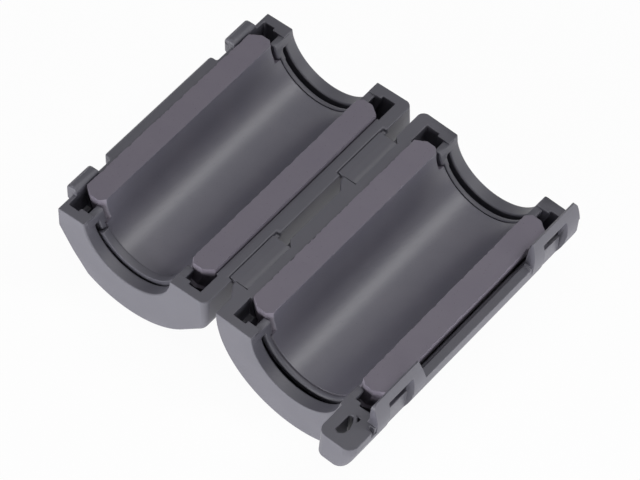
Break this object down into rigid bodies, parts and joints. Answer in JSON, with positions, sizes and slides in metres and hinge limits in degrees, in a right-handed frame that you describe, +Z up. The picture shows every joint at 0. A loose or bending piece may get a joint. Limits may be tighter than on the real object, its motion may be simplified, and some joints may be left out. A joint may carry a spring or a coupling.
{
  "type": "clip-on ferrite bead",
  "caption": "Clip-on cable ferrite: a split ferrite sleeve in a hinged grey plastic case that closes round a cable and latches shut.",
  "frame": {"origin": "bottom centre of the bounding box of the open case, on the surface that it lies on", "axes": "+X from the catch half across to the latch half, +Y along the bores away from the corner lug, +Z up"},
  "size_m": [0.0482, 0.0424, 0.0141],
  "materials": {
    "case_plastic": "dark grey moulded nylon, lightly textured satin",
    "ferrite": "ground sintered ferrite, purplish dark grey, matt faces and smoother bore"
  },
  "bodies": {
    "latch_half": {"latch_half_case": "case_plastic", "hinge_strap_front": "case_plastic", "hinge_strap_rear": "case_plastic"},
    "latch_core": {"ferrite_latch_half": "ferrite"},
    "catch_half": {"catch_half_case": "case_plastic"},
    "catch_core": {"ferrite_catch_half": "ferrite"}
  },
  "joints": [
    {"name": "case_hinge", "type": "hinge", "parent": "latch_half", "child": "catch_half", "pos_m": [-0.00008, 0.0022, 0.01171], "axis": [0, 1, 0], "range_deg": [0, 184.65], "stiffness_Nm_per_rad": 0.004, "deforming": ["hinge_strap_front", "hinge_strap_rear"]},
    {"name": "latch_core_press", "type": "slide", "parent": "latch_half", "child": "latch_core", "axis": [-0.041, 0, -0.9992], "range_m": [0, 0.0006], "stiffness_N_per_m": 2000, "springref_m": -0.0003},
    {"name": "catch_core_press", "type": "slide", "parent": "catch_half", "child": "catch_core", "axis": [0.041, 0, -0.9992], "range_m": [0, 0.0006], "stiffness_N_per_m": 2000, "springref_m": -0.0003}
  ],
  "couplings": [
    {"joint": "case_hinge", "follows": "latch_core_press", "rad_per_m": 5371.2},
    {"joint": "catch_core_press", "follows": "latch_core_press", "ratio": 1}
  ]
}
